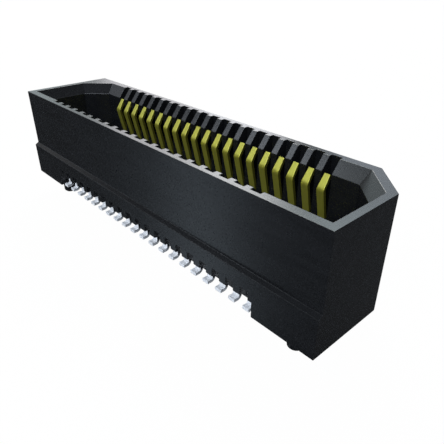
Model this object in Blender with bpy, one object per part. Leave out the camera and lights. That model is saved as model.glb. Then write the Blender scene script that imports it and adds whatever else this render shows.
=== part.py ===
"""Board to board socket: a moulded housing with two rows of stamped contacts.

Frame: X along the rows, Y across them (the plain long side faces -Y), Z up.
Z = 0 is the surface of the board that the feet stand on, and the origin is
in the middle of the footprint.  All sizes are in metres.
"""

import math

import bmesh
import bpy
from mathutils import Matrix, Vector

# Contact rows
PITCH = 0.80e-3
POSITIONS = 20
ROWS = {"front": math.pi, "rear": 0.0}  # a row's turn about Z; the unturned row is at +Y

# Housing, seen from above
CAVITY_WIDTH = 3.46e-3  # between the two long inner walls
LEAD_IN_WIDTH = 0.44e-3  # the sloped edge that guides the plug in
RIM_WIDTH = 0.41e-3  # flat top of the long walls
END_RIM_WIDTH = 0.34e-3  # flat top of the end walls
END_BLOCK = 2.98e-3  # solid foot past the last position at each end
CORNER_CUT = 1.53e-3  # 45 degrees, off the rear corner at +X
BASE_STEP = 0.20e-3  # the base stands proud of the long walls by this much

# Housing, heights above the board
HEIGHT = 5.05e-3
LEAD_IN_DEPTH = 0.54e-3
CAVITY_FLOOR = 1.50e-3
BASE_TOP = 1.78e-3
SHOULDER_RISE = 0.12e-3
UNDERSIDE = 0.28e-3  # bottom of the body between the two rows of tails
COMB_EDGE = 0.70e-3  # lower edge of the long walls between the feet
NOTCH_TOP = 1.10e-3  # roof of the notch over each solder tail
NOTCH_WIDTH = 0.40e-3

# Contact slots
SLOT_WIDTH = 0.48e-3
SLOT_SKIN = 0.22e-3  # what is left of a long wall behind a slot
WALL_CLEARANCE = 0.06e-3  # between a contact and the faces it passes
FIT_CLEARANCE = 0.01e-3  # at the shoulders that hold the contact

# Alignment pins, moulded on the feet
PIN_RADIUS = 0.35e-3
PIN_LENGTH = 1.20e-3
PIN_TIP_CHAMFER = 0.12e-3
PIN_FROM_END = 1.54e-3  # from the end face to the pin's axis
PIN_FROM_FRONT = 1.08e-3  # from the base's front face to the pin's axis
PIN_SIDES = 20
SMOOTH_ANGLE = math.radians(35)  # the pins' flats shade round below this angle

# Contact strip
STOCK = 0.15e-3
CONTACT_WIDTH = 0.36e-3
TIP_WIDTH = 0.28e-3
KNEE_HEIGHT = 3.87e-3
KNEE_PROUD = 0.33e-3  # how far the knee stands out of the wall into the cavity
TIP_LENGTH = 0.68e-3
TIP_LEAN = math.radians(35)
HOLD_LENGTH = 0.50e-3  # length of the wider stretch that grips the slot
HOLD_STEP = 0.10e-3  # each end of that stretch widens over this length
TAIL_INSET = 0.40e-3  # from the face of the base in to the upright tail's outer face
FOOT_INSET = 0.12e-3  # the solder foot ends this far inside the face of the base
BEND_RADIUS = 0.15e-3  # on the strip's middle line
BEND_STEPS = 3

# Cutters run past the faces they open by this much
OVERRUN = 0.5e-3

COMB_LENGTH = POSITIONS * PITCH
HALF_LENGTH = COMB_LENGTH / 2 + END_BLOCK
WALL_FACE = CAVITY_WIDTH / 2
HALF_WIDTH = WALL_FACE + LEAD_IN_WIDTH + RIM_WIDTH
BASE_HALF_WIDTH = HALF_WIDTH + BASE_STEP
CORNER_LINE = HALF_LENGTH + HALF_WIDTH - CORNER_CUT  # x + y along the polarising corner
SLOT_BACK = HALF_WIDTH - SLOT_SKIN
TAIL_FACE = BASE_HALF_WIDTH - TAIL_INSET
TAIL_MIDDLE = TAIL_FACE - STOCK / 2
NOTCH_BACK = TAIL_FACE - STOCK - WALL_CLEARANCE
BEAM_FOOT = WALL_FACE + WALL_CLEARANCE + STOCK / 2  # beam's middle line at the floor
KNEE = WALL_FACE - KNEE_PROUD + STOCK / 2
CROSSING = NOTCH_TOP - STOCK / 2 - WALL_CLEARANCE  # where the strip turns out to its tail
SLOT_END = CROSSING - STOCK / 2 - WALL_CLEARANCE  # the ledge that the strip crosses


def material(name, colour, roughness, metallic):
    """One plain surface for a sub-part."""
    made = bpy.data.materials.new(name)
    made.use_nodes = True
    shader = made.node_tree.nodes["Principled BSDF"]
    shader.inputs["Base Color"].default_value = (*colour, 1.0)
    shader.inputs["Roughness"].default_value = roughness
    shader.inputs["Metallic"].default_value = metallic
    return made


def add_object(name, mesh, surface=None):
    """A named object in the scene, with its own surface."""
    made = bpy.data.objects.new(name, mesh)
    bpy.context.scene.collection.objects.link(made)
    if surface:
        mesh.materials.append(surface)
    return made


def mesh_from(name, bm):
    """The finished mesh of a bmesh, its faces turned outwards."""
    bmesh.ops.recalc_face_normals(bm, faces=bm.faces)
    mesh = bpy.data.meshes.new(name)
    bm.to_mesh(mesh)
    bm.free()
    return mesh


def ring(bm, points):
    """A closed loop of edges through the points."""
    verts = [bm.verts.new(p) for p in points]
    return [bm.edges.new((a, b)) for a, b in zip(verts, verts[1:] + verts[:1])]


def skin(bm, rings):
    """Bridges neighbouring rings of equal size and caps the first and the last."""
    for lower, upper in zip(rings, rings[1:]):
        bmesh.ops.bridge_loops(bm, edges=lower + upper)
    for end in (rings[0], rings[-1]):
        bmesh.ops.edgeloop_fill(bm, edges=end)


def outer_plan(width, z):
    """The outline seen from above: a rectangle with its rear corner at +X cut off."""
    cut = [(HALF_LENGTH, CORNER_LINE - HALF_LENGTH), (CORNER_LINE - width, width)]
    corners = [(-HALF_LENGTH, -width), (HALF_LENGTH, -width), *cut, (-HALF_LENGTH, width)]
    return [Vector((x, y, z)) for x, y in corners]


def inner_plan(end_inset, side_inset, z):
    """The cavity's outline, which has both rear corners cut, square to the outer cut."""
    line = CORNER_LINE - side_inset * math.sqrt(2)
    length = HALF_LENGTH - end_inset
    width = HALF_WIDTH - side_inset
    corners = [(length, -width), (length, line - length), (line - width, width)]
    corners += [(-x, y) for x, y in reversed(corners)]
    return [Vector((x, y, z)) for x, y in corners]


def housing_body():
    """The outer form: a wider base, a small sloped shoulder and the upright walls."""
    bm = bmesh.new()
    levels = [
        (BASE_HALF_WIDTH, 0.0),
        (BASE_HALF_WIDTH, BASE_TOP),
        (HALF_WIDTH, BASE_TOP + SHOULDER_RISE),
        (HALF_WIDTH, HEIGHT),
    ]
    skin(bm, [ring(bm, outer_plan(width, z)) for width, z in levels])
    return mesh_from("housing", bm)


def cavity_cutter():
    """The plug's space: straight walls with a sloped lead-in up to the flat rim."""
    bm = bmesh.new()
    lead_in_foot = HEIGHT - LEAD_IN_DEPTH
    slope = LEAD_IN_WIDTH / LEAD_IN_DEPTH
    rise = OVERRUN * slope
    end = END_RIM_WIDTH + LEAD_IN_WIDTH
    side = RIM_WIDTH + LEAD_IN_WIDTH
    skin(
        bm,
        [
            ring(bm, inner_plan(end, side, CAVITY_FLOOR)),
            ring(bm, inner_plan(end, side, lead_in_foot)),
            ring(bm, inner_plan(END_RIM_WIDTH, RIM_WIDTH, HEIGHT)),
            ring(bm, inner_plan(END_RIM_WIDTH - rise, RIM_WIDTH - rise, HEIGHT + OVERRUN)),
        ],
    )
    return mesh_from("cavity_cutter", bm)


def prism(bm, outline, low, high):
    """A Y-Z outline pushed along X from low to high."""
    edges = ring(bm, [Vector((low, y, z)) for y, z in outline])
    face = bmesh.ops.edgeloop_fill(bm, edges=edges)["faces"]
    moved = bmesh.ops.extrude_face_region(bm, geom=face)["geom"]
    verts = [v for v in moved if isinstance(v, bmesh.types.BMVert)]
    bmesh.ops.translate(bm, verts=verts, vec=(high - low, 0, 0))


def position_x(index):
    """Where a position lies along the row, counted from 0."""
    return (index - (POSITIONS - 1) / 2) * PITCH


def turned_rows(bm, build):
    """Runs build once for each row and turns what it added about Z into its row."""
    for turn in ROWS.values():
        before = set(bm.verts)
        build(bm)
        added = [v for v in bm.verts if v not in before]
        bmesh.ops.rotate(bm, verts=added, matrix=Matrix.Rotation(turn, 3, "Z"))


def rectangle(low_y, high_y, low_z, high_z):
    """A Y-Z outline with four corners."""
    return [(low_y, low_z), (high_y, low_z), (high_y, high_z), (low_y, high_z)]


def slot_outline():
    """A contact's way through a long wall, open to the cavity and into the tail's notch."""
    top = HEIGHT + OVERRUN
    inside = WALL_FACE - OVERRUN
    return [
        (inside, top),
        (inside, CAVITY_FLOOR),
        (WALL_FACE, CAVITY_FLOOR),
        (WALL_FACE, SLOT_END),
        (SLOT_BACK, SLOT_END),
        (SLOT_BACK, top),
    ]


def slot_cutters():
    """One slot at every position of both rows."""
    outline = slot_outline()

    def build(bm):
        for index in range(POSITIONS):
            x = position_x(index)
            prism(bm, outline, x - SLOT_WIDTH / 2, x + SLOT_WIDTH / 2)

    bm = bmesh.new()
    turned_rows(bm, build)
    return mesh_from("slot_cutters", bm)


def notch_cutters():
    """The comb that lets the tails out under both long walls and keeps them in line."""
    outline = rectangle(NOTCH_BACK, BASE_HALF_WIDTH + OVERRUN, -OVERRUN, NOTCH_TOP)

    def build(bm):
        for index in range(POSITIONS):
            x = position_x(index)
            prism(bm, outline, x - NOTCH_WIDTH / 2, x + NOTCH_WIDTH / 2)

    bm = bmesh.new()
    turned_rows(bm, build)
    return mesh_from("notch_cutters", bm)


def underside_cutter():
    """The space between the feet, low under the body and higher under both long walls."""
    reach = BASE_HALF_WIDTH + OVERRUN
    half = [
        (reach, -OVERRUN),
        (reach, COMB_EDGE),
        (TAIL_MIDDLE, COMB_EDGE),
        (TAIL_MIDDLE, UNDERSIDE),
    ]
    outline = half + [(-y, z) for y, z in reversed(half)]
    bm = bmesh.new()
    prism(bm, outline, -COMB_LENGTH / 2, COMB_LENGTH / 2)
    return mesh_from("underside_cutter", bm)


def pin_mesh():
    """Both alignment pins, each with a chamfered tip, rooted inside its foot."""
    bm = bmesh.new()
    levels = [
        (PIN_RADIUS, COMB_EDGE),
        (PIN_RADIUS, PIN_TIP_CHAMFER - PIN_LENGTH),
        (PIN_RADIUS - PIN_TIP_CHAMFER, -PIN_LENGTH),
    ]
    for side in (-1, 1):
        x = side * (HALF_LENGTH - PIN_FROM_END)
        y = PIN_FROM_FRONT - BASE_HALF_WIDTH
        loops = []
        for radius, z in levels:
            turns = [math.tau * k / PIN_SIDES for k in range(PIN_SIDES)]
            points = [
                Vector((x + radius * math.cos(a), y + radius * math.sin(a), z))
                for a in turns
            ]
            loops.append(ring(bm, points))
        skin(bm, loops)
    mesh = mesh_from("alignment_pins", bm)
    mesh.shade_smooth()
    mesh.set_sharp_from_angle(angle=SMOOTH_ANGLE)
    return mesh


def cut_with(target, cutter, operation="DIFFERENCE"):
    """A Boolean on the target with a helper object that is not part of the model."""
    cutter.hide_render = True
    cutter.display_type = "WIRE"
    step = target.modifiers.new(cutter.name, "BOOLEAN")
    step.object = cutter
    step.operation = operation
    step.solver = "EXACT"


def make_housing(surface):
    """The moulded housing, one solid with its feet and alignment pins."""
    housing = add_object("housing", housing_body(), surface)
    for cutter in (cavity_cutter(), underside_cutter(), slot_cutters(), notch_cutters()):
        cut_with(housing, add_object(cutter.name, cutter))
    cut_with(housing, add_object("alignment_pins", pin_mesh()), "UNION")
    return housing


def strip_corners():
    """Corners of the strip's middle line in Y-Z, from the tip down to the solder foot."""
    tip = (
        KNEE + TIP_LENGTH * math.sin(TIP_LEAN),
        KNEE_HEIGHT + TIP_LENGTH * math.cos(TIP_LEAN),
    )
    return [
        tip,
        (KNEE, KNEE_HEIGHT),
        (BEAM_FOOT, CAVITY_FLOOR + HOLD_LENGTH + BEND_RADIUS),
        (BEAM_FOOT, CROSSING),
        (TAIL_MIDDLE, CROSSING),
        (TAIL_MIDDLE, STOCK / 2),
        (BASE_HALF_WIDTH - FOOT_INSET, STOCK / 2),
    ]


def rounded_line(corners, radius, steps):
    """The line through the corners with each inner corner turned into an arc."""
    points = [Vector(corners[0])]
    for before, corner, after in zip(corners, corners[1:], corners[2:]):
        here = Vector(corner)
        back = (Vector(before) - here).normalized()
        on = (Vector(after) - here).normalized()
        half_angle = back.angle(on) / 2
        setback = radius / math.tan(half_angle)
        centre = here + (back + on).normalized() * (radius / math.sin(half_angle))
        first = here + back * setback - centre
        last = here + on * setback - centre
        sweep = first.angle_signed(last)
        for k in range(steps + 1):
            arm = first.copy()
            arm.rotate(Matrix.Rotation(-sweep * k / steps, 2))
            points.append(centre + arm)
    points.append(Vector(corners[-1]))
    return points


def strip_line():
    """Points down the strip's middle line, each with the strip's half width there."""
    even = CONTACT_WIDTH / 2
    bent = rounded_line(strip_corners(), BEND_RADIUS, BEND_STEPS)
    line = [(bent[0], TIP_WIDTH / 2)] + [(point, even) for point in bent[1:]]
    grip = [
        (CAVITY_FLOOR + HOLD_LENGTH, even),
        (CAVITY_FLOOR + HOLD_LENGTH - HOLD_STEP, SLOT_WIDTH / 2 - FIT_CLEARANCE),
        (CAVITY_FLOOR + HOLD_STEP, SLOT_WIDTH / 2 - FIT_CLEARANCE),
        (CAVITY_FLOOR, even),
    ]
    start = next(k for k, (point, _) in enumerate(line) if point.y < CAVITY_FLOOR)
    line[start:start] = [(Vector((BEAM_FOOT, z)), half) for z, half in grip]
    return line


def contact_mesh(surface):
    """A stamped strip: sprung beam with a flared tip above, gull-wing tail below."""
    line = strip_line()
    bm = bmesh.new()
    rings = []
    for k, (point, half) in enumerate(line):
        before = line[max(k - 1, 0)][0]
        after = line[min(k + 1, len(line) - 1)][0]
        along = (after - before).normalized()
        across = Vector((along.y, -along.x)) * (STOCK / 2)
        rings.append(
            ring(
                bm,
                [
                    Vector((x, point.x + side * across.x, point.y + side * across.y))
                    for x, side in ((-half, -1), (half, -1), (half, 1), (-half, 1))
                ],
            )
        )
    skin(bm, rings)
    mesh = mesh_from("contact", bm)
    mesh.materials.append(surface)
    return mesh


def make_contacts(surface):
    """Both rows; every contact is its own object and shares one mesh."""
    mesh = contact_mesh(surface)
    contacts = []
    for row, turn in ROWS.items():
        for index in range(POSITIONS):
            contact = add_object(f"contact_{row}_{index + 1:02d}", mesh)
            contact.location.x = position_x(index)
            contact.rotation_euler.z = turn
            contacts.append(contact)
    return contacts


def main():
    """Clears the scene and builds the connector."""
    for old in list(bpy.data.objects):
        bpy.data.objects.remove(old)
    moulded = material("black_lcp", (0.012, 0.013, 0.014), 0.45, 0.0)
    plated = material("plated_bronze", (0.75, 0.62, 0.16), 0.3, 1.0)
    connector = add_object("connector", None)
    for piece in [make_housing(moulded), *make_contacts(plated)]:
        piece.parent = connector


main()
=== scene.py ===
"""Board to board socket, dressed for its picture.

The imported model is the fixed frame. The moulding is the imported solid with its
edges eased, and Geometry Nodes sweep, shape and repeat the stamped contacts.
Sizes are in metres; MM turns a millimetre figure into them.
"""

import logging
import math
from dataclasses import dataclass, field
from enum import Enum
from typing import Any, Mapping, Optional, Sequence, Union

import bmesh
import bpy
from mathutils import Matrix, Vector


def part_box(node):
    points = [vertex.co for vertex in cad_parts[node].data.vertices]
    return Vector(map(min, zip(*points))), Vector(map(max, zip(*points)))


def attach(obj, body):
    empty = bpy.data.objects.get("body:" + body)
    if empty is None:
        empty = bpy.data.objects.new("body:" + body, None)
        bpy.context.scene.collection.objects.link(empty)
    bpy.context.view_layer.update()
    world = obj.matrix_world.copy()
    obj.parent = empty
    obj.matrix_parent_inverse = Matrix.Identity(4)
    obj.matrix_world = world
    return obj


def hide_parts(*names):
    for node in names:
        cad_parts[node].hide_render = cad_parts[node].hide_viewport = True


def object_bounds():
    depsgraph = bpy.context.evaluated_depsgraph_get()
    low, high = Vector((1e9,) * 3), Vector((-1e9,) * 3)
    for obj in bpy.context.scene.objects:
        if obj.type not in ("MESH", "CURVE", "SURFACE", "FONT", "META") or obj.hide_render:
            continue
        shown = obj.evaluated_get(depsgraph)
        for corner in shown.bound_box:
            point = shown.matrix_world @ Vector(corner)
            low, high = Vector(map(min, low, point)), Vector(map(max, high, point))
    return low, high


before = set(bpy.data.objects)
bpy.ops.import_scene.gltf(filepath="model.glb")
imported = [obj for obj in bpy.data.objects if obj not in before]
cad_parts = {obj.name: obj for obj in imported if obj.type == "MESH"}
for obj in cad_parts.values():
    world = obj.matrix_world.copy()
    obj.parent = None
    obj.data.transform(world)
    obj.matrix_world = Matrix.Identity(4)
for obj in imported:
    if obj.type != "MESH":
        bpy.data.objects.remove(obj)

CAD_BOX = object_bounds()
MM = 1e-3
ROOT = "root"
EASED_FACES = 2  # faces across each eased edge
TIN_TOP = 1.25 * MM  # the strip is tinned below this height and gold above it
TIN_EDGE = 0.08 * MM  # half of the height over which the plating changes
LOG = logging.getLogger("socket")

Pair = tuple[float, float]
Triple = tuple[float, float, float]
Key = Union[str, int]
Number = Union[float, bpy.types.NodeSocket]
Colour = Union[tuple[float, float, float, float], bpy.types.NodeSocket]


def linear(hex_code: str) -> tuple[float, float, float, float]:
    """Turns a written colour into the values that Blender mixes light with.

    The numbers are those of the sRGB curve.

    Args:
        hex_code: An sRGB colour such as "#1a1b1e".

    Returns:
        Linear red, green, blue and a full alpha.
    """
    shares = [int(hex_code[k : k + 2], 16) / 255 for k in (1, 3, 5)]
    red, green, blue = (
        share / 12.92 if share <= 0.04045 else ((share + 0.055) / 1.055) ** 2.4
        for share in shares
    )
    return red, green, blue, 1.0


def fill_inputs(
    tree: bpy.types.NodeTree, node: bpy.types.Node, inputs: Mapping[Key, Any]
) -> None:
    """Sets or links a node's inputs.

    Args:
        tree: The tree that holds the node.
        node: The node.
        inputs: A value, or the output to link from, for each named input.
    """
    for key, value in inputs.items():
        socket = node.inputs[key]
        if isinstance(value, bpy.types.NodeSocket):
            tree.links.new(value, socket)
        else:
            socket.default_value = value


def add_node(
    tree: bpy.types.NodeTree,
    kind: str,
    settings: Optional[Mapping[str, Any]] = None,
    inputs: Optional[Mapping[Key, Any]] = None,
) -> bpy.types.Node:
    """Adds a node with its settings and links.

    Args:
        tree: The shader or geometry tree that gets the node.
        kind: The node's type.
        settings: Values for the node's own properties.
        inputs: A value, or the output to link from, for each named input.

    Returns:
        The new node.
    """
    node = tree.nodes.new(kind)
    for name, value in (settings or {}).items():
        setattr(node, name, value)
    fill_inputs(tree, node, inputs or {})
    return node


def calculate(
    tree: bpy.types.NodeTree, operation: str, *values: Number
) -> bpy.types.NodeSocket:
    """Adds one step of arithmetic.

    Args:
        tree: The tree that gets the node.
        operation: The Math node's operation.
        *values: Each a number or the output to link from, in order.

    Returns:
        The result.
    """
    return add_node(
        tree, "ShaderNodeMath", {"operation": operation}, dict(enumerate(values))
    ).outputs[0]


def rescale(
    tree: bpy.types.NodeTree,
    value: Number,
    source: tuple[Number, Number] = (0.0, 1.0),
    target: tuple[Number, Number] = (0.0, 1.0),
    change: str = "LINEAR",
) -> bpy.types.NodeSocket:
    """Turns one range of values into another, and holds them inside it.

    Args:
        tree: The tree that gets the node.
        value: What is turned.
        source: The range that it comes from.
        target: The range that it goes to.
        change: How it goes from one end to the other.

    Returns:
        The turned value.
    """
    return add_node(
        tree,
        "ShaderNodeMapRange",
        {"interpolation_type": change},
        {
            "Value": value,
            "From Min": source[0],
            "From Max": source[1],
            "To Min": target[0],
            "To Max": target[1],
        },
    ).outputs["Result"]


def mix_colours(
    tree: bpy.types.NodeTree, share: Number, first: Colour, second: Colour
) -> bpy.types.NodeSocket:
    """Mixes two colours.

    Args:
        tree: The material's tree.
        share: The second colour's share.
        first: A linear colour or the output to link from.
        second: The same, for the other colour.

    Returns:
        The mixed colour.
    """
    return add_node(
        tree,
        "ShaderNodeMix",
        {"data_type": "RGBA"},
        {"Factor": share, "A": first, "B": second},
    ).outputs["Result"]


def object_place(tree: bpy.types.NodeTree) -> bpy.types.NodeSocket:
    """Gives the point that is shaded.

    Args:
        tree: The material's tree.

    Returns:
        The point in object coordinates.
    """
    return add_node(tree, "ShaderNodeTexCoord").outputs["Object"]


def stretched(
    tree: bpy.types.NodeTree, place: bpy.types.NodeSocket, sizes: Triple
) -> bpy.types.NodeSocket:
    """Measures a point in units that differ along X, Y and Z.

    Args:
        tree: The material's tree.
        place: The point in object coordinates.
        sizes: The unit along each axis.

    Returns:
        The point in these units.
    """
    scale = tuple(1 / size for size in sizes)
    return add_node(
        tree, "ShaderNodeMapping", inputs={"Vector": place, "Scale": scale}
    ).outputs[0]


def speckle(
    tree: bpy.types.NodeTree,
    place: bpy.types.NodeSocket,
    scale: float,
    detail: float,
    fineness: float = 0.5,
) -> bpy.types.NodeSocket:
    """Adds noise.

    Args:
        tree: The material's tree.
        place: Where the noise is read.
        scale: How many of its spots fit in one unit.
        detail: How many finer layers lie on the spots.
        fineness: How strong these layers are.

    Returns:
        A value from 0 to 1.
    """
    return add_node(
        tree,
        "ShaderNodeTexNoise",
        inputs={"Vector": place, "Scale": scale, "Detail": detail, "Roughness": fineness},
    ).outputs["Fac"]


def relief(
    tree: bpy.types.NodeTree, height: bpy.types.NodeSocket, depth: float
) -> bpy.types.NodeSocket:
    """Makes a surface look uneven.

    Args:
        tree: The material's tree.
        height: The noise that it follows.
        depth: How far 0 lies below 1.

    Returns:
        The normal.
    """
    return add_node(
        tree,
        "ShaderNodeBump",
        inputs={"Height": height, "Distance": depth, "Strength": 1.0},
    ).outputs["Normal"]


def share_above(
    tree: bpy.types.NodeTree, place: bpy.types.NodeSocket, height: float, edge: float
) -> bpy.types.NodeSocket:
    """Tells how far a point is past a height.

    Args:
        tree: The material's tree.
        place: The point in object coordinates.
        height: The middle of the change.
        edge: Half of the height over which it changes.

    Returns:
        0 below the height and 1 above it, with a soft change between them.
    """
    level = add_node(tree, "ShaderNodeSeparateXYZ", inputs={"Vector": place}).outputs["Z"]
    return rescale(tree, level, (height - edge, height + edge), change="SMOOTHSTEP")


def new_surface(
    name: str,
) -> tuple[bpy.types.Material, bpy.types.NodeTree, bpy.types.Node]:
    """Starts a material.

    Args:
        name: The finish that it shows.

    Returns:
        The material, its tree and its Principled shader.
    """
    made = bpy.data.materials.new(name)
    made.use_nodes = True
    return made, made.node_tree, made.node_tree.nodes["Principled BSDF"]


def put_in_scene(name: str, content: bpy.types.ID) -> bpy.types.Object:
    """Links a mesh, a camera or a light as an object at the origin.

    Args:
        name: The object's name.
        content: What it holds.

    Returns:
        The object.
    """
    made = bpy.data.objects.new(name, content)
    bpy.context.scene.collection.objects.link(made)
    return made


def aim(thing: bpy.types.Object, outward: Vector) -> None:
    """Turns a camera or a lamp so that it looks inwards.

    Args:
        thing: The camera or the lamp.
        outward: The direction in which it lies, from what it looks at.
    """
    thing.rotation_euler = (-outward).to_track_quat("-Z", "Y").to_euler()


def settle(piece: bpy.types.Object) -> None:
    """Turns what a piece's modifiers make into its own plain mesh.

    Args:
        piece: An object whose modifiers are then gone.
    """
    graph = bpy.context.evaluated_depsgraph_get()
    finished = bpy.data.meshes.new_from_object(piece.evaluated_get(graph))
    finished.name = piece.name
    piece.modifiers.clear()
    piece.data = finished


def ease_edges(piece: bpy.types.Object, radius: float, sharpest: float) -> None:
    """Rounds a piece's sharp edges and keeps its flat faces flat.

    Args:
        piece: The object to finish.
        radius: Width of the rounding.
        sharpest: Edges that turn more than this angle are rounded, in radians.
    """
    bevel = piece.modifiers.new("eased_edges", "BEVEL")
    bevel.width = radius
    bevel.segments = EASED_FACES
    bevel.limit_method = "ANGLE"
    bevel.angle_limit = sharpest
    bevel.harden_normals = True


@dataclass(frozen=True)
class MouldedPolymer:
    """Black glass-filled liquid crystal polymer, moulded in a spark-eroded steel tool.

    The tool leaves a dull, fine-grained skin, and the short glass strands in it
    drift into faint streaks along the flow, a little greyer than the resin.
    """

    name: str = "glass_filled_lcp"
    resin: str = "#151618"
    streak: str = "#1b1c1e"
    gloss: float = 0.5
    roughness: Pair = (0.24, 0.28)
    grain: float = 0.09 * MM  # erosion grain is near 0.02 mm, drawn coarser so that it shows
    grain_detail: float = 2.0
    grain_range: Pair = (0.3, 0.7)  # the noise's values that count
    grain_depth: float = 0.00015 * MM
    streak_length: float = 2.6 * MM
    streak_width: float = 0.35 * MM
    streak_detail: float = 4.0
    streak_fineness: float = 0.6
    streak_range: Pair = (0.38, 0.72)

    def build(self) -> bpy.types.Material:
        """Makes the material.

        Returns:
            The material, ready for a slot.
        """
        made, tree, shader = new_surface(self.name)
        place = object_place(tree)
        flow = stretched(
            tree, place, (self.streak_length, self.streak_width, self.streak_width)
        )
        streaks = speckle(tree, flow, 1.0, self.streak_detail, self.streak_fineness)
        grain = speckle(tree, place, 1 / self.grain, self.grain_detail)
        share = rescale(tree, streaks, self.streak_range)
        fill_inputs(
            tree,
            shader,
            {
                "Base Color": mix_colours(
                    tree, share, linear(self.resin), linear(self.streak)
                ),
                "Roughness": rescale(tree, grain, self.grain_range, self.roughness),
                "Normal": relief(tree, grain, self.grain_depth),
                "Specular IOR Level": self.gloss,
            },
        )
        return made


@dataclass(frozen=True)
class PlatedStrip:
    """Rolled copper alloy strip: gold over nickel where it touches, matte tin at the tail.

    Rolling leaves fine lines along the strip, gold stays satin, and tin is duller
    and white. The change lies inside the housing, just above the tail's bend.
    """

    name: str = "gold_and_tin_plating"
    gold: str = "#cac752"
    gold_deep: str = "#b4b146"
    gold_metallic: float = 0.72
    gold_roughness: float = 0.41
    tin: str = "#f6f7f8"
    tin_metallic: float = 0.15  # matte tin scatters almost as white paint does
    tin_roughness: float = 0.42
    film: float = 0.12  # a wiped-on contact film, which whitens the glint on the knees
    film_roughness: float = 0.20
    line_width: float = 0.05 * MM
    line_length: float = 1.6 * MM
    line_detail: float = 3.0
    line_fineness: float = 0.55
    line_depth: float = 0.0008 * MM

    def build(self) -> bpy.types.Material:
        """Makes the material.

        Returns:
            The material, ready for a slot.
        """
        made, tree, shader = new_surface(self.name)
        place = object_place(tree)
        rolled = stretched(tree, place, (self.line_width, self.line_length, self.line_length))
        lines = speckle(tree, rolled, 1.0, self.line_detail, self.line_fineness)
        plated = share_above(tree, place, TIN_TOP, TIN_EDGE)
        gold = mix_colours(tree, lines, linear(self.gold_deep), linear(self.gold))
        fill_inputs(
            tree,
            shader,
            {
                "Base Color": mix_colours(tree, plated, linear(self.tin), gold),
                "Roughness": rescale(
                    tree, plated, target=(self.tin_roughness, self.gold_roughness)
                ),
                "Metallic": rescale(
                    tree, plated, target=(self.tin_metallic, self.gold_metallic)
                ),
                "Normal": relief(tree, lines, self.line_depth),
                "Coat Weight": self.film,
                "Coat Roughness": self.film_roughness,
            },
        )
        return made


@dataclass(frozen=True)
class ShearedEdge:
    """The strip's cut sides: half smeared bright by the punch, half torn and dull.

    Plating is thin there, so the sides read as darker metal than the faces, brownish
    beside the gold. Beside the tin they carry painted shade, dark grey above the foot, and
    painted light, a lighter grey along the foot's bottom.
    """

    name: str = "sheared_strip_edge"
    smeared: str = "#8f8a30"
    torn: str = "#5a571e"
    # painted shade: these dark greys stand for the shadow on the cut sides at the tail's bend
    shaded_tail_smeared: str = "#4a4c4e"
    shaded_tail_torn: str = "#242628"
    metallic: float = 0.7
    roughness: Pair = (0.38, 0.60)
    # painted light: a lighter grey for the lowest part of the cut sides, at the foot
    painted_light_foot: str = "#b9bbbd"
    painted_light_top: float = 0.17 * MM  # painted light: the cut sides are a lighter grey below this height
    painted_light_edge: float = 0.10 * MM
    painted_light_metallic: float = 0.15
    tear: float = 0.06 * MM
    tear_detail: float = 3.0
    tear_fineness: float = 0.65
    tear_depth: float = 0.003 * MM

    def build(self) -> bpy.types.Material:
        """Makes the material.

        Returns:
            The material, ready for a slot.
        """
        made, tree, shader = new_surface(self.name)
        place = object_place(tree)
        tears = speckle(tree, place, 1 / self.tear, self.tear_detail, self.tear_fineness)
        plated = share_above(tree, place, TIN_TOP, TIN_EDGE)
        # painted shade on the tail's cut sides from the bend down, and painted light along the
        # foot's bottom
        shaded_share = share_above(tree, place, self.painted_light_top, self.painted_light_edge)
        upper = mix_colours(tree, tears, linear(self.smeared), linear(self.torn))
        tail = mix_colours(tree, tears, linear(self.shaded_tail_smeared), linear(self.shaded_tail_torn))
        foot = mix_colours(tree, shaded_share, linear(self.painted_light_foot), tail)
        fill_inputs(
            tree,
            shader,
            {
                "Base Color": mix_colours(tree, plated, foot, upper),
                "Roughness": rescale(tree, tears, target=self.roughness),
                "Metallic": rescale(tree, shaded_share, target=(self.painted_light_metallic, self.metallic)),
                "Normal": relief(tree, tears, self.tear_depth),
            },
        )
        return made


class Row(Enum):
    """The two rows of contacts, each with its turn about Z from the rear one."""

    FRONT = math.pi
    REAR = 0.0

    @property
    def word(self) -> str:
        """The row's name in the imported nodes."""
        return self.name.lower()


@dataclass
class MouldedHousing:
    """The housing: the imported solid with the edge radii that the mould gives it."""

    finish: MouldedPolymer = field(default_factory=MouldedPolymer)
    node: str = "housing"
    edge_radius: float = 0.018 * MM
    sharpest: float = math.radians(25)
    weld: float = 1e-4 * MM
    flat_within: float = math.radians(0.3)

    def build(self) -> bpy.types.Object:
        """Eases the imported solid's edges and gives it its material.

        Returns:
            The dressed housing, which stands for its node.
        """
        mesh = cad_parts[self.node].data.copy()
        bm = bmesh.new()
        bm.from_mesh(mesh)
        bmesh.ops.remove_doubles(bm, verts=bm.verts, dist=self.weld)
        bmesh.ops.dissolve_limit(
            bm, angle_limit=self.flat_within, verts=bm.verts, edges=bm.edges
        )
        bm.to_mesh(mesh)
        bm.free()
        mesh.materials.clear()
        mesh.materials.append(self.finish.build())
        old_normals = mesh.attributes.get("custom_normal")
        if old_normals:
            mesh.attributes.remove(old_normals)
        mesh.shade_smooth()
        mesh.set_sharp_from_angle(angle=self.sharpest)
        piece = put_in_scene("moulded_housing", mesh)
        ease_edges(piece, self.edge_radius, self.sharpest)
        settle(piece)
        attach(piece, ROOT)
        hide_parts(self.node)
        return piece


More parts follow.
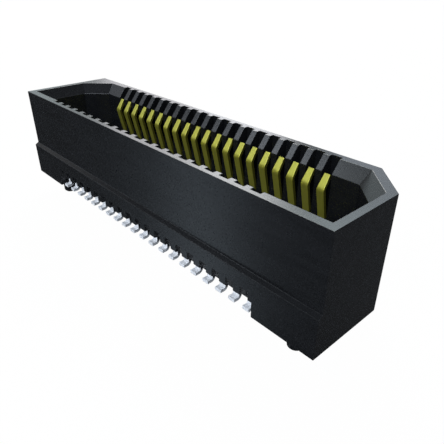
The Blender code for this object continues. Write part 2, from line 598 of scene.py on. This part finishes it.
@dataclass
class ContactRow:
    """One row of stamped contacts, swept along the strip's middle line and repeated."""

    row: Row
    finish: bpy.types.Material
    edge_finish: bpy.types.Material
    count: int
    pitch: float
    base_half_width: float
    wall_face: float = 1.73 * MM  # the cavity's long inner wall
    stock: float = 0.15 * MM
    width: float = 0.36 * MM
    tip_width: float = 0.28 * MM
    grip_width: float = 0.46 * MM
    knee_height: float = 3.87 * MM
    knee_proud: float = 0.33 * MM
    tip_length: float = 0.68 * MM
    tip_lean: float = math.radians(35)
    cavity_floor: float = 1.50 * MM
    grip_length: float = 0.50 * MM
    grip_step: float = 0.10 * MM
    wall_clearance: float = 0.06 * MM
    tail_inset: float = 0.40 * MM
    foot_inset: float = 0.12 * MM
    crossing: float = 0.965 * MM
    bend_radius: float = 0.15 * MM
    bend_steps: int = 6
    sample: float = 0.05 * MM
    side_facing: float = 0.7  # a face that looks this much along X is a cut side
    edge_radius: float = 0.018 * MM
    sharpest: float = math.radians(50)

    def middle_line(self) -> list[Triple]:
        """Works out where the strip is bent.

        Returns:
            The corners of the strip's middle line, from the tip to the foot.
        """
        knee = self.wall_face - self.knee_proud + self.stock / 2
        beam_foot = self.wall_face + self.wall_clearance + self.stock / 2
        tail = self.base_half_width - self.tail_inset - self.stock / 2
        lean = Vector((math.sin(self.tip_lean), math.cos(self.tip_lean))) * self.tip_length
        corners = [
            (knee + lean.x, self.knee_height + lean.y),
            (knee, self.knee_height),
            (beam_foot, self.cavity_floor + self.grip_length + self.bend_radius),
            (beam_foot, self.crossing),
            (tail, self.crossing),
            (tail, self.stock / 2),
            (self.base_half_width - self.foot_inset, self.stock / 2),
        ]
        return [(0.0, y, z) for y, z in corners]

    def inputs(self) -> dict[str, tuple[str, Any]]:
        """Lists what the tree is given besides the middle line.

        Returns:
            Each named input with its socket type and value.
        """
        return {
            "Count": ("NodeSocketInt", self.count),
            "Pitch": ("NodeSocketFloat", self.pitch),
            "Turn": ("NodeSocketFloat", self.row.value),
            "Stock": ("NodeSocketFloat", self.stock),
            "Width": ("NodeSocketFloat", self.width),
            "Tip Width": ("NodeSocketFloat", self.tip_width),
            "Grip Width": ("NodeSocketFloat", self.grip_width),
            "Knee Height": ("NodeSocketFloat", self.knee_height),
            "Tip Height": ("NodeSocketFloat", self.middle_line()[0][2]),
            "Grip Bottom": ("NodeSocketFloat", self.cavity_floor),
            "Grip Top": ("NodeSocketFloat", self.cavity_floor + self.grip_length),
            "Grip Step": ("NodeSocketFloat", self.grip_step),
            "Bend Radius": ("NodeSocketFloat", self.bend_radius),
            "Bend Steps": ("NodeSocketInt", self.bend_steps),
            "Sample": ("NodeSocketFloat", self.sample),
            "Face": ("NodeSocketMaterial", self.finish),
            "Edge": ("NodeSocketMaterial", self.edge_finish),
        }

    def tree(self) -> bpy.types.NodeTree:
        """Makes the tree that turns the middle line into a whole row.

        Returns:
            The tree.
        """
        tree = bpy.data.node_groups.new(f"contact_row_{self.row.word}", "GeometryNodeTree")
        tree.interface.new_socket("Line", in_out="INPUT", socket_type="NodeSocketGeometry")
        for name, (kind, _) in self.inputs().items():
            tree.interface.new_socket(name, in_out="INPUT", socket_type=kind)
        tree.interface.new_socket("Row", in_out="OUTPUT", socket_type="NodeSocketGeometry")
        given = add_node(tree, "NodeGroupInput").outputs
        strip = self.sweep(tree, given)
        shaped = self.shape_widths(tree, given, strip)
        row = self.repeat(tree, given, shaped)
        faced = add_node(
            tree, "GeometryNodeSetMaterial", inputs={"Geometry": row, "Material": given["Face"]}
        )
        normal = add_node(tree, "GeometryNodeInputNormal").outputs[0]
        sideways = add_node(tree, "ShaderNodeSeparateXYZ", inputs={"Vector": normal})
        is_side = add_node(
            tree,
            "FunctionNodeCompare",
            {"operation": "GREATER_THAN"},
            {0: calculate(tree, "ABSOLUTE", sideways.outputs["X"]), 1: self.side_facing},
        )
        edged = add_node(
            tree,
            "GeometryNodeSetMaterial",
            inputs={
                "Geometry": faced.outputs[0],
                "Selection": is_side.outputs[0],
                "Material": given["Edge"],
            },
        )
        add_node(tree, "NodeGroupOutput", inputs={"Row": edged.outputs[0]})
        return tree

    def sweep(
        self, tree: bpy.types.NodeTree, given: bpy.types.bpy_prop_collection
    ) -> bpy.types.NodeSocket:
        """Bends the middle line and pushes the strip's section along it.

        Args:
            tree: The row's tree.
            given: The tree's own inputs.

        Returns:
            The strip's mesh, of one width.
        """
        line = add_node(tree, "GeometryNodeMeshToCurve", inputs={"Mesh": given["Line"]})
        bent = add_node(
            tree,
            "GeometryNodeFilletCurve",
            {"mode": "POLY"},
            {
                "Curve": line.outputs[0],
                "Count": given["Bend Steps"],
                "Radius": given["Bend Radius"],
            },
        )
        even = add_node(
            tree,
            "GeometryNodeResampleCurve",
            {"mode": "LENGTH"},
            {"Curve": bent.outputs[0], "Length": given["Sample"]},
        )
        turned = add_node(
            tree,
            "GeometryNodeSetCurveNormal",
            {"mode": "FREE"},
            {"Curve": even.outputs[0], "Normal": (1.0, 0.0, 0.0)},
        )
        section = add_node(
            tree,
            "GeometryNodeCurvePrimitiveQuadrilateral",
            {"mode": "RECTANGLE"},
            {"Width": given["Width"], "Height": given["Stock"]},
        )
        swept = add_node(
            tree,
            "GeometryNodeCurveToMesh",
            inputs={
                "Curve": turned.outputs[0],
                "Profile Curve": section.outputs[0],
                "Fill Caps": True,
            },
        )
        return swept.outputs[0]

    def shape_widths(
        self,
        tree: bpy.types.NodeTree,
        given: bpy.types.bpy_prop_collection,
        strip: bpy.types.NodeSocket,
    ) -> bpy.types.NodeSocket:
        """Narrows the tip and widens the stretch that grips the housing.

        Args:
            tree: The row's tree.
            given: The tree's own inputs.
            strip: The strip's mesh.

        Returns:
            The mesh with its widths.
        """
        place = add_node(tree, "GeometryNodeInputPosition").outputs[0]
        split = add_node(tree, "ShaderNodeSeparateXYZ", inputs={"Vector": place}).outputs
        width = given["Width"]
        tip = rescale(
            tree,
            split["Z"],
            (given["Knee Height"], given["Tip Height"]),
            (width, given["Tip Width"]),
        )
        both_ends = calculate(tree, "ADD", given["Grip Bottom"], given["Grip Top"])
        half_way = calculate(tree, "MULTIPLY", both_ends, 0.5)
        away = calculate(tree, "SUBTRACT", split["Z"], half_way)
        reach = calculate(tree, "SUBTRACT", given["Grip Top"], half_way)
        full = calculate(tree, "SUBTRACT", reach, given["Grip Step"])
        grip = rescale(
            tree,
            calculate(tree, "ABSOLUTE", away),
            (full, reach),
            (given["Grip Width"], width),
        )
        here = calculate(tree, "SUBTRACT", calculate(tree, "ADD", tip, grip), width)
        factor = calculate(tree, "DIVIDE", here, width)
        across = calculate(tree, "MULTIPLY", split["X"], factor)
        point = add_node(
            tree,
            "ShaderNodeCombineXYZ",
            inputs={"X": across, "Y": split["Y"], "Z": split["Z"]},
        )
        return add_node(
            tree,
            "GeometryNodeSetPosition",
            inputs={"Geometry": strip, "Position": point.outputs[0]},
        ).outputs[0]

    def repeat(
        self,
        tree: bpy.types.NodeTree,
        given: bpy.types.bpy_prop_collection,
        contact: bpy.types.NodeSocket,
    ) -> bpy.types.NodeSocket:
        """Sets a contact at every position and turns the row about Z.

        Args:
            tree: The row's tree.
            given: The tree's own inputs.
            contact: One contact's mesh, at the middle of the row.

        Returns:
            The row as one mesh.
        """
        spaces = calculate(tree, "SUBTRACT", given["Count"], 1.0)
        length = calculate(tree, "MULTIPLY", spaces, given["Pitch"])
        start = calculate(tree, "MULTIPLY", length, -0.5)
        first = add_node(tree, "ShaderNodeCombineXYZ", inputs={"X": start})
        step = add_node(tree, "ShaderNodeCombineXYZ", inputs={"X": given["Pitch"]})
        positions = add_node(
            tree,
            "GeometryNodeMeshLine",
            {"mode": "OFFSET"},
            {
                "Count": given["Count"],
                "Start Location": first.outputs[0],
                "Offset": step.outputs[0],
            },
        )
        placed = add_node(
            tree,
            "GeometryNodeInstanceOnPoints",
            inputs={"Points": positions.outputs[0], "Instance": contact},
        )
        whole = add_node(
            tree, "GeometryNodeRealizeInstances", inputs={"Geometry": placed.outputs[0]}
        )
        turn = add_node(tree, "ShaderNodeCombineXYZ", inputs={"Z": given["Turn"]})
        return add_node(
            tree,
            "GeometryNodeTransform",
            inputs={"Geometry": whole.outputs[0], "Rotation": turn.outputs[0]},
        ).outputs[0]

    def build(self) -> bpy.types.Object:
        """Sweeps, shapes and repeats one contact.

        Returns:
            The row, which stands for its twenty nodes.
        """
        corners = self.middle_line()
        mesh = bpy.data.meshes.new(f"contacts_{self.row.word}")
        mesh.from_pydata(corners, [(k, k + 1) for k in range(len(corners) - 1)], [])
        piece = put_in_scene(f"contacts_{self.row.word}", mesh)
        modifier = piece.modifiers.new("swept_row", "NODES")
        modifier.node_group = self.tree()
        values = self.inputs()
        for item in modifier.node_group.interface.items_tree:
            if item.in_out == "INPUT" and item.name in values:
                modifier[item.identifier] = values[item.name][1]
        ease_edges(piece, self.edge_radius, self.sharpest)
        settle(piece)
        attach(piece, ROOT)
        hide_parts(*(f"contact_{self.row.word}_{k + 1:02d}" for k in range(self.count)))
        return piece


@dataclass(frozen=True)
class PhotoCamera:
    """The photograph's viewpoint, fitted to points of the object."""

    azimuth: float = 47.565  # degrees from the front towards the right
    elevation: float = 29.863
    distance: float = 21.46 * MM
    target: Triple = (3.354 * MM, 0.0, 1.143 * MM)
    focal_pixels: float = 456.356
    frame_pixels: int = 444
    sensor: float = 36.0
    nearest: float = 0.1 * MM
    farthest: float = 10.0

    def build(self) -> bpy.types.Object:
        """Sets the camera up.

        Returns:
            The camera, which is then the scene's.
        """
        turn, rise = math.radians(self.azimuth), math.radians(self.elevation)
        back = Vector(
            (math.sin(turn) * math.cos(rise), -math.cos(turn) * math.cos(rise), math.sin(rise))
        )
        data = bpy.data.cameras.new("photo_camera")
        data.sensor_width = self.sensor
        data.lens = self.focal_pixels / self.frame_pixels * self.sensor
        data.clip_start = self.nearest
        data.clip_end = self.farthest
        camera = put_in_scene("photo_camera", data)
        camera.location = Vector(self.target) + back * self.distance
        aim(camera, back)
        bpy.context.scene.camera = camera
        return camera


@dataclass(frozen=True)
class Softbox:
    """A far, flat lamp that fills a window of directions, as a studio's panels do."""

    name: str
    azimuths: Pair  # degrees from +X towards +Y
    elevations: Pair  # negative for light that comes off the table
    radiance: float
    tint: str = "#ffffff"
    distance: float = 250 * MM

    def build(self) -> bpy.types.Object:
        """Adds the lamp.

        Returns:
            The lamp, turned to the object and hidden from the camera.
        """
        turn, rise = (math.radians(sum(span) / 2) for span in (self.azimuths, self.elevations))
        wide, high = (
            2 * self.distance * math.tan(math.radians(last - first) / 2)
            for first, last in (self.azimuths, self.elevations)
        )
        wide *= math.cos(rise)
        outward = Vector(
            (math.cos(turn) * math.cos(rise), math.sin(turn) * math.cos(rise), math.sin(rise))
        )
        data = bpy.data.lights.new(self.name, "AREA")
        data.shape = "RECTANGLE"
        data.size = wide
        data.size_y = high
        data.energy = self.radiance * math.pi * wide * high
        data.color = linear(self.tint)[:3]
        lamp = put_in_scene(self.name, data)
        lamp.location = outward * self.distance
        aim(lamp, outward)
        lamp.visible_camera = False
        return lamp


@dataclass
class Studio:
    """A pale floor under the alignment pins, an even sky and a few soft lamps."""

    floor_side: float = 600 * MM
    floor_colour: str = "#f4f4f4"
    floor_roughness: float = 0.9
    whiteness: float = 0.985  # how far the camera sees white paper in place of the lit floor
    paper: float = 1.0  # the white paper
    room: float = 0.03  # the unlit room around the lamps
    lamps: Sequence[Softbox] = (
        Softbox("key_behind_left", (130, 150), (32, 55), 11.8, "#fcfffa"),
        Softbox("key_spill", (150, 170), (32, 55), 3.7, "#fafffc"),
        Softbox("low_behind_left", (128, 140), (8, 32), 3.9, "#f8f9ff"),
        Softbox("low_behind_left_edge", (140, 153), (8, 32), 2.3, "#fcfaff"),
        Softbox("far_left", (153, 171), (8, 32), 0.8, "#f0fcff"),
        Softbox("far_left_low", (158, 172), (5, 14), 0.5, "#dcf8ff"),
        Softbox("low_behind", (107, 122), (8, 32), 1.2, "#e8f0ff"),
        Softbox("high_behind", (105, 130), (32, 55), 4.4, "#e8fcff"),
        Softbox("front_left", (197, 214), (8, 32), 1.0, "#eef4ff"),
        Softbox("front_left_low", (215, 229), (8, 26), 0.6),
        Softbox("left_low", (171, 192), (8, 32), 0.35),
        Softbox("front_left_high", (213, 227), (32, 46), 5.2, "#eaf3ff"),
        Softbox("front_left_high_edge", (227, 237), (34, 50), 2.6, "#eaf6f8"),
        Softbox("front_right_high", (265, 320), (28, 46), 8.9, "#eaf2ff"),
        Softbox("right_high", (-40, 70), (32, 55), 0.9, "#eef4ff"),
        Softbox("table_streak", (218, 224), (-50, -9), 1.4, "#def0ff"),
        Softbox("table_right", (-40, 80), (-50, -9), 0.05, "#eef6ff"),
    )

    def floor(self) -> bpy.types.Object:
        """Lays the floor, which the object's lowest points touch.

        It casts no shadow, so that the lamps that stand for light off the table
        shine through it.

        Returns:
            The floor, as part of the stage.
        """
        half = self.floor_side / 2
        level = CAD_BOX[0].z
        mesh = bpy.data.meshes.new("floor")
        corners = [(-half, -half), (half, -half), (half, half), (-half, half)]
        mesh.from_pydata([(x, y, level) for x, y in corners], [], [(0, 1, 2, 3)])
        made, tree, shader = new_surface("pale_floor")
        fill_inputs(
            tree,
            shader,
            {"Base Color": linear(self.floor_colour), "Roughness": self.floor_roughness},
        )
        white = add_node(tree, "ShaderNodeEmission", inputs={"Strength": self.paper})
        rays = add_node(tree, "ShaderNodeLightPath").outputs
        share = calculate(tree, "MULTIPLY", rays["Is Camera Ray"], self.whiteness)
        mixed = add_node(
            tree,
            "ShaderNodeMixShader",
            inputs={0: share, 1: shader.outputs[0], 2: white.outputs[0]},
        )
        fill_inputs(tree, tree.nodes["Material Output"], {"Surface": mixed.outputs[0]})
        mesh.materials.append(made)
        piece = put_in_scene("floor", mesh)
        piece.visible_glossy = False
        piece.visible_shadow = False
        return piece

    def sky(self) -> None:
        """Sets the world: white paper to the camera, and a dark room to everything else.

        The object's gloss shows the lamps against a dark room in the photograph, so
        only the camera sees the white.
        """
        world = bpy.data.worlds.new("studio")
        world.use_nodes = True
        tree = world.node_tree
        tree.nodes.clear()
        rays = add_node(tree, "ShaderNodeLightPath").outputs
        white = linear("#ffffff")
        around, seen = (
            add_node(
                tree, "ShaderNodeBackground", inputs={"Color": white, "Strength": level}
            ).outputs[0]
            for level in (self.room, self.paper)
        )
        mixed = add_node(
            tree, "ShaderNodeMixShader", inputs={0: rays["Is Camera Ray"], 1: around, 2: seen}
        )
        add_node(tree, "ShaderNodeOutputWorld", inputs={"Surface": mixed.outputs[0]})
        bpy.context.scene.world = world

    def build(self) -> None:
        """Makes the floor, the lamps and the world."""
        self.floor()
        self.sky()
        for lamp in self.lamps:
            lamp.build()
        bpy.context.scene.view_settings.view_transform = "Standard"


def main() -> None:
    """Builds the classes in order and reports each piece."""
    logging.basicConfig(level=logging.INFO, format="%(name)s: %(message)s")
    housing = MouldedHousing()
    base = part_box(housing.node)
    nodes = sorted(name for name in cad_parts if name.startswith("contact_rear_"))
    low, high = (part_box(name) for name in (nodes[0], nodes[-1]))
    span = (high[0] + high[1] - low[0] - low[1]).x / 2
    pieces = [housing.build()]
    plated = PlatedStrip().build()
    sheared = ShearedEdge().build()
    for row in Row:
        contacts = ContactRow(
            row=row,
            finish=plated,
            edge_finish=sheared,
            count=len(nodes),
            pitch=span / (len(nodes) - 1),
            base_half_width=base[1].y,
        )
        pieces.append(contacts.build())
    Studio().build()
    PhotoCamera().build()
    for piece in pieces:
        LOG.info("%s: %d faces", piece.name, len(piece.data.polygons))


if __name__ == "__main__":
    main()
